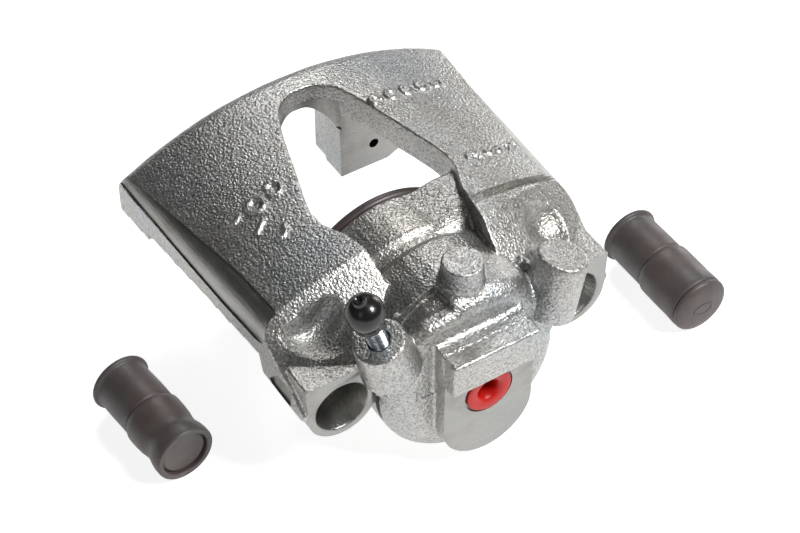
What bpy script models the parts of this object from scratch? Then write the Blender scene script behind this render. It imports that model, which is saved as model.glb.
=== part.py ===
"""Floating-caliper casting with its piston, seals, bleed screw, caps and two loose rubber guide sleeves.

Sizes are in millimetres and become metres in the helpers. The caliper's own axes are X across,
Y along the piston axis (plus is outboard, towards the fingers) and Z up towards the bridge.
An empty on the piston axis carries every piece, so the world's origin is under the middle of the set.
"""

import math

import bmesh
import bpy
from mathutils import Vector

MM = 0.001

# Where the piston axis stands in the world
SET_CENTRE = (1.75, 49.55)          # middle of the whole set, in the caliper's own X and Y
FLOOR_DROP = 36.5                   # the cylinder's outer radius: the set stands on it

# Bridge
ROOF_RADIUS = 143.5
ROOF_TOP = 46.0
ROOF_THICKNESS = 13.0
ROOF_AXIS_Z = ROOF_TOP - ROOF_RADIUS
INBOARD_END = 14.0
OUTBOARD_FACE = 125.0
HALF_WIDTH_IN = 66.5
HALF_WIDTH_OUT = 72.6
EDGE_ROUND = 8.0
END_ROUND = 7.0
TAPER = math.atan2(HALF_WIDTH_OUT - HALF_WIDTH_IN, OUTBOARD_FACE - INBOARD_END)
SHOULDER_FALL = 0.75                # drop per millimetre inboard, below the end of the roof
SHOULDER_INNER = 17.5
ROOF_END_LEFT = 26.5
ROOF_END_RIGHT = 11.5               # where the right end's line crosses the middle; it runs at an angle
ROOF_END_SKEW = math.radians(14.8)
SCOOP_RADIUS = 14.0
SCOOP = Vector((50.5, 9.0, 34.8))

# Fingers
FINGER_FACE = 104.0
FINGER_GAP_HALF = 13.5
FINGER_GAP_SPRING = 20.0
FINGER_TIP_Z = -1.0
PAD_HOLE = Vector((28.4, 9.7))
PAD_HOLE_RADIUS = 2.1
PAD_HOLE_DEPTH = 9.0

# Cylinder
CYLINDER_RADIUS = 36.5
MOUTH = 50.0
BACK = -14.0
SPOT_FACE = -19.9
SPOT_HALF_WIDTH = 19.0
SPOT_ROUND_Z = -11.9
BORE_RADIUS = 27.3
BORE_BOTTOM = -7.0
SEAL_GROOVE_RADIUS = 29.8
SEAL_GROOVE = (36.0, 40.6)
RING_SEAT_RADIUS = 33.2
RING_SEAT_DEPTH = 6.0

# Piston
PISTON_RADIUS = 27.0
PISTON_WALL = 4.5
PISTON_BACK = -6.0
PISTON_FACE = 57.5
BOOT_GROOVE = (52.2, 54.8)
BOOT_GROOVE_RADIUS = 25.4

# Guide ears
EAR_X = 49.95
EAR_Z = 3.7
EAR_FACE = -1.5
EAR_RADIUS = 13.9
EAR_BORE_RADIUS = 10.6
EAR_LENGTH = 30.0

# Inlet port and its ledge
COUNTERBORE_RADIUS = 10.2
COUNTERBORE_DEPTH = 1.2
PORT_RADIUS = 5.6
PORT_DEPTH = 13.0
FEED_RADIUS = 2.0
LEDGE_HALF_WIDTH = 16.9

# Bleeder and blank bosses
BLEED_TOP = Vector((38.8, -8.0, 38.0))
BLEED_TILT = math.radians(17.0)
BLEED_BOSS_LENGTH = 18.0
BLANK_BOSS_LENGTH = 24.0
BLEED_HOLE_RADIUS = 3.7
BLEED_HOLE_DEPTH = 17.0
SHANK_RADIUS = 3.3
HEXAGON_RADIUS = 4.5
CAP_CENTRE = 17.6
CAP_RADIUS = 7.1

# Loose guide sleeves: middle of the axis in X and Y, and the turn about Z
SLEEVE_FLANGE_RADIUS = 12.3
SLEEVE_BORE_RADIUS = 6.6
SLEEVE_LENGTH = 45.0
SLEEVES = {
    "left": (-100.0, 52.5, math.radians(5.2)),
    "right": (105.5, 13.5, math.radians(0.0)),
}

ROUND_STEPS = 40
GAP = 0.3

bpy.ops.object.select_all(action="DESELECT")
for old in list(bpy.data.objects):
    bpy.data.objects.remove(old)

parts = bpy.data.collections.new("brake_caliper")
tools = bpy.data.collections.new("cutters")
for collection in (parts, tools):
    bpy.context.scene.collection.children.link(collection)

origin = bpy.data.objects.new("piston_axis", None)
origin.location = (-SET_CENTRE[0] * MM, -SET_CENTRE[1] * MM, FLOOR_DROP * MM)
parts.objects.link(origin)


def material(name, colour, roughness, metallic):
    """A plain Principled material."""
    made = bpy.data.materials.new(name)
    made.use_nodes = True
    shader = made.node_tree.nodes["Principled BSDF"]
    shader.inputs["Base Color"].default_value = (*colour, 1.0)
    shader.inputs["Roughness"].default_value = roughness
    shader.inputs["Metallic"].default_value = metallic
    return made


def place(mesh, name, collection, location=(0, 0, 0), rotation=(0, 0, 0)):
    """An object at a place in the caliper's own axes."""
    made = bpy.data.objects.new(name, mesh)
    collection.objects.link(made)
    made.parent = origin
    made.location = Vector(location) * MM
    made.rotation_euler = rotation
    if collection is tools:
        made.hide_render = True
        made.display_type = "WIRE"
    return made


def wire(points, closed):
    """A mesh of one line of edges, from (x, z) points in millimetres."""
    mesh = bpy.data.meshes.new("outline")
    count = len(points)
    edges = [(i, i + 1) for i in range(count - 1)]
    if closed:
        edges.append((count - 1, 0))
    mesh.from_pydata([(x * MM, 0, z * MM) for x, z in points], edges, [])
    return mesh


ALONG_Y = (-math.pi / 2, 0, 0)
UPRIGHT = (0, 0, 0)


def turned(name, profile, collection=tools, location=(0, 0, 0), rotation=ALONG_Y, closed=False,
           steps=ROUND_STEPS):
    """A turned solid: the profile is (radius, height), down the outer side first."""
    made = place(wire(profile, closed), name, collection, location, rotation)
    screw = made.modifiers.new("turn", "SCREW")
    screw.steps = steps
    screw.render_steps = steps
    screw.use_merge_vertices = True
    screw.merge_threshold = 0.00001
    return made


FACING = {
    "XY": (0, 0, 0),
    "XZ": (math.pi / 2, 0, 0),
    "YZ": (math.pi / 2, 0, math.pi / 2),
}


def plate(name, outline, start, end, plane="XZ", collection=tools, turn=0.0, at=(0, 0)):
    """A flat outline with thickness, from start to end along the axis that its plane leaves out."""
    curve = bpy.data.curves.new(name, "CURVE")
    curve.dimensions = "2D"
    curve.fill_mode = "BOTH"
    curve.extrude = abs(end - start) / 2 * MM
    spline = curve.splines.new("POLY")
    spline.points.add(len(outline) - 1)
    for point, (u, v) in zip(spline.points, outline):
        point.co = (u * MM, v * MM, 0, 1)
    spline.use_cyclic_u = True
    shape = bpy.data.objects.new(name, curve)
    bpy.context.scene.collection.objects.link(shape)
    depsgraph = bpy.context.evaluated_depsgraph_get()
    mesh = bpy.data.meshes.new_from_object(shape.evaluated_get(depsgraph))
    bpy.data.objects.remove(shape)
    weld(mesh)
    middle = (start + end) / 2
    location = {
        "XY": (at[0], at[1], middle),
        "XZ": (at[0], middle, at[1]),
        "YZ": (middle, at[0], at[1]),
    }[plane]
    rotation = (FACING[plane][0], FACING[plane][1], FACING[plane][2] + turn)
    return place(mesh, name, collection, location, rotation)


def weld(mesh):
    """Joins the loose caps of a curve's mesh."""
    work = bmesh.new()
    work.from_mesh(mesh)
    bmesh.ops.remove_doubles(work, verts=work.verts, dist=0.000001)
    bmesh.ops.recalc_face_normals(work, faces=work.faces)
    work.to_mesh(mesh)
    work.free()


def boolean(target, tool, operation):
    step = target.modifiers.new(tool.name, "BOOLEAN")
    step.operation = operation
    step.object = tool
    step.solver = "EXACT"


def arc(centre, radius, first, last, steps):
    """Points on an arc: angles in degrees, from the first axis of the plane towards the second."""
    angles = [math.radians(first + (last - first) * i / steps) for i in range(steps + 1)]
    return [(centre[0] + radius * math.cos(a), centre[1] + radius * math.sin(a)) for a in angles]


def roof_arc(radius, half_width, steps):
    """The bridge's arch from +X to -X."""
    reach = math.degrees(math.asin(half_width / radius))
    return arc((0, ROOF_AXIS_Z), radius, 90 - reach, 90 + reach, steps)


def mirrored(half):
    """A whole outline from its +X half, listed from the middle of one side to the other."""
    return half + [(-x, y) for x, y in reversed(half)]


def finish(made, look):
    """Gives a piece its material and smooth shading with crisp edges."""
    made.data.materials.append(look)
    made.data.shade_smooth()
    made.data.set_sharp_from_angle(angle=math.radians(35))


def side_outline():
    """Seen from above: the bridge's two straight sides, which spread towards the fingers."""
    reach = [EAR_FACE - 3, OUTBOARD_FACE + 5]
    half = [(HALF_WIDTH_IN + (y - INBOARD_END) * math.tan(TAPER), y) for y in reach]
    return mirrored(half)


def window_outline():
    """Seen from above: an egg, widest over the piston's mouth and round at the fingers."""
    return mirrored([
        (19, 2),
        (21.5, 22),
        (24, 37),
        (28.5, 47),
        (28.8, 54),
        (27.2, 61),
        (18.5, 90),
        *arc((0, 96), 15.6, 15, 90, 6)[:-1],
    ])


def finger_wall_outline():
    """Seen along Y: the outboard wall with its two fingers and the round gap between them."""
    gap = arc((0, FINGER_GAP_SPRING), FINGER_GAP_HALF, 0, 90, 8)
    half = [
        *reversed(gap),
        (FINGER_GAP_HALF, FINGER_TIP_Z + 1),
        (26, FINGER_TIP_Z),
        (35, FINGER_TIP_Z),
        (43.5, 3),
        (50, 12),
        (66, 12),
        (69, 9),
        (HALF_WIDTH_OUT + 2, 9),
    ]
    top = roof_arc(ROOF_RADIUS - 4, HALF_WIDTH_OUT + 2, 24)
    return half + top + [(-x, z) for x, z in reversed(half)][:-1]


def shoulder_outline():
    """Seen along X: the iron under the slopes between the bridge and the ears."""
    return [(EAR_FACE + 0.6, 50), (42, 50), (42, 26), (31, 15), (27.5, 4), (EAR_FACE + 0.6, 4)]


def slope_cutter(side, roof_end, skew):
    """The air over one shoulder: outside a cone that shares the roof's axis."""
    inboard = EAR_FACE - 8 - 80 * math.tan(skew)
    depth = (roof_end - inboard) * SHOULDER_FALL
    spare = ROOF_RADIUS + 9
    profile = [(spare, roof_end + 9 / SHOULDER_FALL), (spare, inboard), (ROOF_RADIUS - depth, inboard)]
    cutter = turned(f"slope_{side}", profile, location=(0, 0, ROOF_AXIS_Z), rotation=(*ALONG_Y[:2], skew),
                    closed=True, steps=144)
    limits = sorted((side * 4.0, side * 95.0))
    boolean(cutter, plate(f"slope_half_{side}", [(limits[0], 0), (limits[1], 0), (limits[1], 70), (limits[0], 70)],
                          inboard - 9, 70), "INTERSECT")
    return cutter


def build_bridge(housing_name):
    """The arch, the finger wall and the shoulders, trimmed to the outline from above."""
    outer = roof_arc(ROOF_RADIUS, 76, 40)
    spare = roof_arc(ROOF_RADIUS + 6, 80, 30)
    inner = roof_arc(ROOF_RADIUS - ROOF_THICKNESS, 80, 36)
    base = plate(housing_name, spare + inner[::-1], 10, OUTBOARD_FACE + 2, collection=parts)
    boolean(base, plate("finger_wall", finger_wall_outline(), FINGER_FACE, OUTBOARD_FACE + 3), "UNION")
    for side in (-1, 1):
        limits = sorted((side * SHOULDER_INNER, side * 66))
        shoulder = plate(f"shoulder_{side}", shoulder_outline(), *limits, plane="YZ")
        boolean(base, shoulder, "UNION")
    envelope = outer + [(-76, -12), (76, -12)]
    boolean(base, plate("envelope", envelope, EAR_FACE - 5, OUTBOARD_FACE), "INTERSECT")
    boolean(base, plate("sides", side_outline(), -20, 60, plane="XY"), "INTERSECT")
    boolean(base, plate("window", window_outline(), 14, 60, plane="XY"), "DIFFERENCE")
    boolean(base, slope_cutter(-1, ROOF_END_LEFT, 0.0), "DIFFERENCE")
    boolean(base, slope_cutter(1, ROOF_END_RIGHT, ROOF_END_SKEW), "DIFFERENCE")
    for side in (-1, 1):
        half = arc((0, 0), SCOOP_RADIUS, 90, -90, 12)
        ball = [(max(radius, 0.0), height) for radius, height in half]
        scoop = turned(f"scoop_{side}", ball, location=(side * SCOOP.x, SCOOP.y, SCOOP.z),
                       rotation=UPRIGHT, steps=28)
        boolean(base, scoop, "DIFFERENCE")
    return base


def edge_cutter(side):
    """The air outside the rounding between the roof and one long side."""
    middle = (HALF_WIDTH_IN + HALF_WIDTH_OUT) / 2
    level = ROOF_RADIUS - EDGE_ROUND
    places = [
        Vector((width - EDGE_ROUND, ROOF_AXIS_Z + math.sqrt(level ** 2 - (width - EDGE_ROUND) ** 2)))
        for width in (HALF_WIDTH_IN, middle, HALF_WIDTH_OUT)
    ]
    roof_angle = math.degrees(math.asin((middle - EDGE_ROUND) / level))
    start, stop = 4, 90 - roof_angle - 4
    curve = arc((0, 0), EDGE_ROUND, start, stop, 8)
    out_low = (curve[0][0] + 9 * math.sin(math.radians(start)), curve[0][1] - 9)
    out_high = (curve[-1][0] - 9 * math.sin(math.radians(stop)), curve[-1][1] + 9 * math.cos(math.radians(stop)))
    outline = [(side * x, z) for x, z in [out_low, *curve, out_high, (25, 22), (25, out_low[1])]]
    cutter = plate(f"long_edge_{side}", outline, -85, 85, at=(side * places[1].x, places[1].y))
    fall = math.atan2(places[0].y - places[2].y, OUTBOARD_FACE - INBOARD_END)
    cutter.rotation_euler = (math.pi / 2 - fall, 0, -side * TAPER)
    cutter.location.y = (INBOARD_END + OUTBOARD_FACE) / 2 * MM
    return cutter


def round_the_edges(base):
    """Rounds the bridge's two long edges and its outboard edge."""
    for side in (-1, 1):
        boolean(base, edge_cutter(side), "DIFFERENCE")
    middle_y = OUTBOARD_FACE - END_ROUND
    quarter = arc((ROOF_RADIUS - END_ROUND, middle_y), END_ROUND, 90, 0, 6)
    profile = [(ROOF_RADIUS + 5, OUTBOARD_FACE + 3), (ROOF_RADIUS + 5, middle_y)]
    profile += quarter[::-1] + [(ROOF_RADIUS - END_ROUND, OUTBOARD_FACE + 3)]
    ring = turned("outboard_edge", profile, location=(0, 0, ROOF_AXIS_Z), closed=True, steps=96)
    boolean(base, ring, "DIFFERENCE")


def cylinder_shapes():
    """Everything cast around the bore."""
    dome = [(0, MOUTH), (CYLINDER_RADIUS, MOUTH), (CYLINDER_RADIUS, -3)]
    dome += arc((CYLINDER_RADIUS - 11, -3), 11, 0, -78, 6)[1:] + [(0, BACK - 0.3)]
    yield turned("cylinder", dome)
    hump = [(0, 24), (33, 24), (36, 20), (36, -4), *arc((27, -4), 9, 0, -80, 6)[1:], (0, BACK + 0.7)]
    yield turned("hump", hump, location=(0, 0, 5.6), steps=36)
    saddle = [(0, MOUTH - 0.1), (35.3, MOUTH - 0.1), (36.5, 31), (32, 24), (0, 24)]
    yield turned("saddle", saddle, location=(0, 0, 2.1), steps=44)
    spot = [(SPOT_HALF_WIDTH, 21), *arc((0, SPOT_ROUND_Z), SPOT_HALF_WIDTH, 0, -180, 18), (-SPOT_HALF_WIDTH, 21)]
    yield plate("spot_pad", spot, SPOT_FACE, -5.2)
    ledge = [(-25.9, 26.6), (-25.3, 27.4), (-18.8, 27.4), (-8, 30), (-5, 10), (-18.5, 10), (-25.9, 13)]
    yield plate("ledge", ledge, -LEDGE_HALF_WIDTH, LEDGE_HALF_WIDTH, plane="YZ")
    brow = [(-18.6, 20), (-18.3, 27.8), (-12.6, 33.6), (-9.6, 35.3), (1, 36), (1, 9), (-11, 9)]
    yield plate("brow", brow, -24.8, 9.5, plane="YZ")
    yield turned("round_boss", [(0, 50), (7.0, 50), (7.6, 49.3), (8.2, 36), (0, 36)],
                 location=(0, -1.05, 0), rotation=UPRIGHT, steps=32)


def ear_shapes():
    """Both ears, round below and flat above, and the webs that tie them to the cylinder."""
    for side in (-1, 1):
        half = [(37, 19), (64.4, 19.5), *arc((EAR_X, EAR_Z), EAR_RADIUS, 0, -180, 16)]
        outline = [(side * x, z) for x, z in half]
        yield plate(f"ear_{side}", outline, EAR_FACE, EAR_FACE + EAR_LENGTH)
        web = [(side * x, z) for x, z in ((20, -14), (44, -8), (47, 4), (42, 22), (20, 24))]
        yield plate(f"ear_web_{side}", web, 4, 29.5)


def bleed_place(side, lift=0.0):
    """A point on a tilted boss axis and the turn that puts local Z along it."""
    axis = Vector((side * math.sin(BLEED_TILT), 0, math.cos(BLEED_TILT)))
    point = Vector((side * BLEED_TOP.x, BLEED_TOP.y, BLEED_TOP.z)) + axis * lift
    return point, (0, side * BLEED_TILT, 0)


def boss_shapes():
    """The bleeder's boss on the left and a blank one on the right."""
    for side, length in ((-1, BLEED_BOSS_LENGTH), (1, BLANK_BOSS_LENGTH)):
        point, rotation = bleed_place(side)
        profile = [(0, 0), (9.1, 0), (9.7, -0.7), (11.3, -length), (0, -length)]
        yield turned(f"tilted_boss_{side}", profile, location=point, rotation=rotation, steps=32)


def machining():
    """Every bore, groove, seat and drilled hole."""
    ring = MOUTH - RING_SEAT_DEPTH
    bore = [
        (0, MOUTH + 2), (RING_SEAT_RADIUS, MOUTH + 2), (RING_SEAT_RADIUS, ring), (BORE_RADIUS, ring),
        (BORE_RADIUS, SEAL_GROOVE[1]), (SEAL_GROOVE_RADIUS, SEAL_GROOVE[1]),
        (SEAL_GROOVE_RADIUS, SEAL_GROOVE[0]), (BORE_RADIUS, SEAL_GROOVE[0]),
        (BORE_RADIUS, BORE_BOTTOM + 1.5), (BORE_RADIUS - 1.5, BORE_BOTTOM), (0, BORE_BOTTOM),
    ]
    yield turned("bore", bore)
    sink = SPOT_FACE + COUNTERBORE_DEPTH
    port = [
        (0, SPOT_FACE + PORT_DEPTH + 3), (FEED_RADIUS, SPOT_FACE + PORT_DEPTH + 3),
        (FEED_RADIUS, SPOT_FACE + PORT_DEPTH - 1.5), (PORT_RADIUS, SPOT_FACE + PORT_DEPTH - 2.5),
        (PORT_RADIUS, sink), (COUNTERBORE_RADIUS, sink), (COUNTERBORE_RADIUS, SPOT_FACE - 8),
        (0, SPOT_FACE - 8),
    ]
    yield turned("port", port, steps=32)
    for side in (-1, 1):
        tube = [(0, 46), (EAR_BORE_RADIUS, 46), (EAR_BORE_RADIUS, -2), (0, -2)]
        yield turned(f"ear_bore_{side}", tube, location=(side * EAR_X, EAR_FACE, EAR_Z), steps=32)
        drill = [(0, PAD_HOLE_DEPTH), (PAD_HOLE_RADIUS, PAD_HOLE_DEPTH), (PAD_HOLE_RADIUS, -2), (0, -2)]
        yield turned(f"pad_hole_{side}", drill,
                     location=(side * PAD_HOLE.x, FINGER_FACE, PAD_HOLE.y), steps=16)
    point, rotation = bleed_place(-1)
    hole = [(0, 2), (BLEED_HOLE_RADIUS, 2), (BLEED_HOLE_RADIUS, -BLEED_HOLE_DEPTH),
            (1.2, -BLEED_HOLE_DEPTH - 3), (0, -BLEED_HOLE_DEPTH - 3)]
    yield turned("bleed_hole", hole, location=point, rotation=rotation, steps=24)


def build_housing(look):
    housing = build_bridge("caliper_housing")
    round_the_edges(housing)
    for shapes in (cylinder_shapes(), ear_shapes(), boss_shapes()):
        for shape in shapes:
            boolean(housing, shape, "UNION")
    for cutter in machining():
        boolean(housing, cutter, "DIFFERENCE")
    finish(housing, look)


def build_piston(look):
    """A cup, open outboard, with a groove for the dust boot."""
    inner = PISTON_RADIUS - PISTON_WALL
    profile = [
        (inner, PISTON_FACE), (PISTON_RADIUS - 1, PISTON_FACE), (PISTON_RADIUS, PISTON_FACE - 1),
        (PISTON_RADIUS, BOOT_GROOVE[1]), (BOOT_GROOVE_RADIUS, BOOT_GROOVE[1]),
        (BOOT_GROOVE_RADIUS, BOOT_GROOVE[0]), (PISTON_RADIUS, BOOT_GROOVE[0]),
        (PISTON_RADIUS, PISTON_BACK + 1.5), (PISTON_RADIUS - 1.5, PISTON_BACK), (0, PISTON_BACK),
    ]
    cup = [(0, PISTON_BACK + 7), (inner - 3, PISTON_BACK + 7), (inner, PISTON_BACK + 10)]
    finish(turned("piston", cup + profile, parts), look)


def build_seal(look):
    low, high = SEAL_GROOVE[0] + GAP, SEAL_GROOVE[1] - GAP
    inner, outer = PISTON_RADIUS + GAP, SEAL_GROOVE_RADIUS - GAP
    ring = [(outer, high), (outer, low), (inner, low), (inner, high)]
    finish(turned("piston_seal", ring, parts, closed=True), look)


def build_boot(rubber, steel):
    """The bellows from the cylinder's mouth to the piston's groove, and the ring that holds it."""
    base = MOUTH + GAP
    lip = BOOT_GROOVE_RADIUS + GAP
    bellows = [
        (35.0, 55.6), (36.1, 54.8), (36.4, 53.4), (36.0, 51.2), (35.2, base), (30.6, base),
        (30.0, 51.4), (29.2, base), (28.2, base), (28.0, 52.7), (lip, 52.7),
        (lip, 54.3), (28.6, 54.3), (29.8, 53.2), (31.0, 55.4), (33.4, 55.9),
    ]
    finish(turned("dust_boot", bellows, parts, closed=True), rubber)
    outer = RING_SEAT_RADIUS - GAP
    seat = MOUTH - RING_SEAT_DEPTH + GAP
    ring = [(outer, MOUTH - GAP), (outer, seat), (29.6, seat), (29.6, seat + 1.2), (31.7, seat + 1.2),
            (31.7, MOUTH - GAP)]
    finish(turned("boot_retaining_ring", ring, parts, closed=True), steel)


def build_bleeder(steel, rubber):
    """The hollow screw, with a hexagon and a barb, and the cap over it."""
    point, rotation = bleed_place(-1)
    seat = -BLEED_HOLE_DEPTH + 0.4
    profile = [
        (0, 22.4), (2.6, 22.4), (3.4, 20.6), (3.4, 19.8), (2.7, 19.0), (2.7, 15.3), (4.3, 14.4),
        (HEXAGON_RADIUS, 14.0), (HEXAGON_RADIUS, 10.6),
        (3.5, 9.8), (SHANK_RADIUS, 9.2), (SHANK_RADIUS, seat + 1.5), (1.4, seat), (0, seat),
    ]
    screw = turned("bleed_screw", profile, parts, point, rotation, steps=16)
    drill = turned("bleed_drill", [(0, 25), (1.0, 25), (1.0, -11), (0, -11)], tools, point, rotation, steps=12)
    cross = turned("bleed_cross_hole", [(0, 6), (0.8, 6), (0.8, -6), (0, -6)], tools,
                   bleed_place(-1, -9.5)[0], ALONG_Y, steps=12)
    boolean(screw, drill, "DIFFERENCE")
    boolean(screw, cross, "DIFFERENCE")
    finish(screw, steel)
    wall = HEXAGON_RADIUS + GAP
    cap = [
        (0, 26.2), (1.6, 26.2), (2.0, 25.8), (2.0, 24.9), *arc((0, CAP_CENTRE), CAP_RADIUS, 74, -40, 10),
        (5.4, 10.9), (5.2, 10.3), (wall, 10.3), (wall, 15.0), (3.7, 16.2), (3.8, 21.6), (2.6, 23.2), (0, 23.2),
    ]
    finish(turned("bleed_screw_cap", cap, parts, point, rotation, steps=20), rubber)


def build_inlet_plug(look):
    """A hollow red stopper in the hose port."""
    sink = SPOT_FACE + COUNTERBORE_DEPTH - GAP
    tip = sink + 9
    face = SPOT_FACE - 0.6
    outer = PORT_RADIUS - GAP
    head = COUNTERBORE_RADIUS - 0.8
    profile = [
        (0, tip), (outer - 1, tip), (outer, tip - 2), (outer, sink), (head, sink), (head, face + 0.4),
        (head - 0.4, face), (4.6, face), (3.8, face + 1.2), (3.6, tip - 1.6), (0, tip - 1.6),
    ]
    finish(turned("inlet_plug", profile, parts, steps=32), look)


def sleeve_place(side):
    """Where a loose sleeve's axis lies: its middle and the turn that puts local Z outboard."""
    x, y, turn = SLEEVES[side]
    drop = FLOOR_DROP - SLEEVE_FLANGE_RADIUS
    return (x, y, -drop), (-math.pi / 2, 0, turn)


def build_sleeve(side, rubber):
    """A rubber sleeve, thin end outboard, with a bead there and a step halfway."""
    location, rotation = sleeve_place(side)
    half = SLEEVE_LENGTH / 2
    bore = SLEEVE_BORE_RADIUS
    mouth = 9.7
    profile = [
        (bore, half), (11.4, half), (12.1, half - 0.5), (12.3, half - 1.3), (12.1, half - 2.2),
        (11.2, half - 2.8), (11.1, 1.0), (10.7, 0.6), (10.7, 0.0), (11.6, -0.6), (12.1, -1.6), (12.2, -14.0),
        (12.3, 1.5 - half), (11.8, -half), (mouth, -half), (mouth, 6.6 - half), (bore, 6.6 - half),
    ]
    finish(turned(f"guide_sleeve_{side}", profile, parts, location, rotation, True, 32), rubber)


def build_sleeve_cap(side, dome, look):
    """The stopper in a sleeve's wide end; dome is how far its face stands out of the mouth."""
    location, rotation = sleeve_place(side)
    half = SLEEVE_LENGTH / 2
    outer = 9.7 - GAP
    stem = SLEEVE_BORE_RADIUS - GAP
    seat = 6.6 - half - GAP
    face = -half - dome
    profile = [(0, seat + 7), (stem - 0.8, seat + 7), (stem, seat + 5), (stem, seat), (outer, seat)]
    if dome > 0:
        rim = 12.0
        profile += [(outer, -half - GAP), (rim - 0.4, -half - GAP), (rim, -half - 1.0),
                    (rim - 0.6, -half - 2.2), (rim - 3.4, face + 0.7), (4.5, face), (0, face - 0.1)]
    else:
        profile += [(outer, face + 0.5), (outer - 0.5, face), (0, face)]
    finish(turned(f"sleeve_cap_{side}", profile, parts, location, rotation, steps=32), look)


zinc_iron = material("zinc_plated_iron", (0.56, 0.56, 0.54), 0.42, 0.85)
piston_steel = material("chromed_steel", (0.62, 0.62, 0.62), 0.2, 1.0)
ring_steel = material("ring_steel", (0.5, 0.5, 0.5), 0.35, 1.0)
screw_zinc = material("bluish_zinc", (0.66, 0.72, 0.76), 0.25, 1.0)
seal_rubber = material("seal_rubber", (0.03, 0.03, 0.03), 0.6, 0.0)
boot_rubber = material("boot_rubber", (0.045, 0.035, 0.035), 0.5, 0.0)
cap_rubber = material("cap_rubber", (0.012, 0.011, 0.011), 0.3, 0.0)
sleeve_rubber = material("sleeve_rubber", (0.065, 0.058, 0.056), 0.6, 0.0)
red_plastic = material("red_plastic", (0.75, 0.045, 0.025), 0.4, 0.0)

build_housing(zinc_iron)
build_piston(piston_steel)
build_seal(seal_rubber)
build_boot(boot_rubber, ring_steel)
build_bleeder(screw_zinc, cap_rubber)
build_inlet_plug(red_plastic)
for sleeve_side in SLEEVES:
    build_sleeve(sleeve_side, sleeve_rubber)
build_sleeve_cap("left", -1.4, sleeve_rubber)
build_sleeve_cap("right", 4.0, sleeve_rubber)
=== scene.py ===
"""The looks of a floating brake caliper: a zinc-plated casting, and its loose rubber sleeves.

Sizes are in millimetres in the caliper's own axes (X across, Y outboard, Z up, zero on the piston
axis) and become metres in the helpers. The frame's piston gives the place of those axes.
"""

import math

import bmesh
import bpy
import numpy as np
from mathutils import Euler, Matrix, Vector, noise


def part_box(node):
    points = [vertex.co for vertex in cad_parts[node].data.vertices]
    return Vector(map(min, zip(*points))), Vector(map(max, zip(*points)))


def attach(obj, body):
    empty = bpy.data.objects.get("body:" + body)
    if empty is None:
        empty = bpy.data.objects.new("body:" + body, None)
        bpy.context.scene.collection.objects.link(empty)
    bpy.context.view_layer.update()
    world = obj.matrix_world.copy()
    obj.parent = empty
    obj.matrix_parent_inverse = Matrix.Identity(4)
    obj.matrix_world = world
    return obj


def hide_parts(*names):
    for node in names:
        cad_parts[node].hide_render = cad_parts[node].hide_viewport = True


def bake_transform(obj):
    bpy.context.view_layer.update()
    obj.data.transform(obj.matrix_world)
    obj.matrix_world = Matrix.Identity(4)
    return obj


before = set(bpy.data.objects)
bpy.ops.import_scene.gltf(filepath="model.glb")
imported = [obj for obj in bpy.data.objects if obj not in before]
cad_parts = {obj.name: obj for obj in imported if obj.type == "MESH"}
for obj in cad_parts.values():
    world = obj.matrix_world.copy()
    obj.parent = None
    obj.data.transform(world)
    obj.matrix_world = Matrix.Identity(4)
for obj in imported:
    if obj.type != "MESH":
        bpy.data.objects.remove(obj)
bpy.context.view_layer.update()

MM = 0.001
PISTON_FACE = 57.5
piston_low, piston_high = (Vector(corner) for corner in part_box("piston"))
AXIS = Vector((
    (piston_low.x + piston_high.x) / 2,
    piston_high.y - PISTON_FACE * MM,
    (piston_low.z + piston_high.z) / 2,
))

# The casting
VOXEL = 0.5
SMOOTH_STEPS = 6
WAVE_HEIGHT = 0.16
PIT_HEIGHT = 0.03
CASTING_SHARP = math.radians(58)
TURNED_SHARP = math.radians(32)
ROOF_RADIUS = 143.5
ROOF_TOP = 46.0
ROOF_AXIS_Z = ROOF_TOP - ROOF_RADIUS
CYLINDER_RADIUS = 36.5
MOUTH = 50.0
HALF_WIDTH_IN = 66.5
HALF_WIDTH_OUT = 72.6
INBOARD_END = 14.0
OUTBOARD_FACE = 125.0

# Machined faces and bores
SPOT_FACE = -19.9
SPOT_HALF_WIDTH = 19.0
SPOT_ROUND_Z = -11.9
SPOT_TOP = 12.4
FINGER_FACE = 104.0
EAR_X = 49.95
EAR_Z = 3.7
EAR_FACE = -1.5
EAR_RADIUS = 13.9
EAR_BORE_RADIUS = 10.6
BORE_RADIUS = 27.3
BORE_BOTTOM = -7.0
SEAL_GROOVE = (36.0, 40.6)
SEAL_GROOVE_RADIUS = 29.8
BAND_START = 21.0
BAND_RUNOUT = 9.0
BAND_SWEEP = 80.0
BAND_ROUND = 11.0
BAND_DEPTH = 0.7
MARK_HEIGHT = 1.2
MARK_ROOT = -1.5
MARK_SECTION = ((-1, MARK_ROOT), (1, MARK_ROOT), (0.85, MARK_HEIGHT), (-0.85, MARK_HEIGHT))
STEP_DEPTH = 2.4
RING_SEAT_RADIUS = 33.2
RING_SEAT_DEPTH = 6.0
COUNTERBORE_RADIUS = 10.2
COUNTERBORE_DEPTH = 1.2
PORT_RADIUS = 5.6
PORT_DEPTH = 13.0
PAD_HOLE = (28.4, 9.7)
PAD_HOLE_RADIUS = 2.1
BLEED_TOP = Vector((38.8, -8.0, 38.0))
BLEED_TILT = math.radians(17)
BLEED_BOSS_LENGTH = 18.0
BLANK_BOSS_LENGTH = 24.0
BLEED_HOLE_RADIUS = 3.7
BLEED_HOLE_DEPTH = 17.0
THREAD_TURNS = 21

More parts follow.
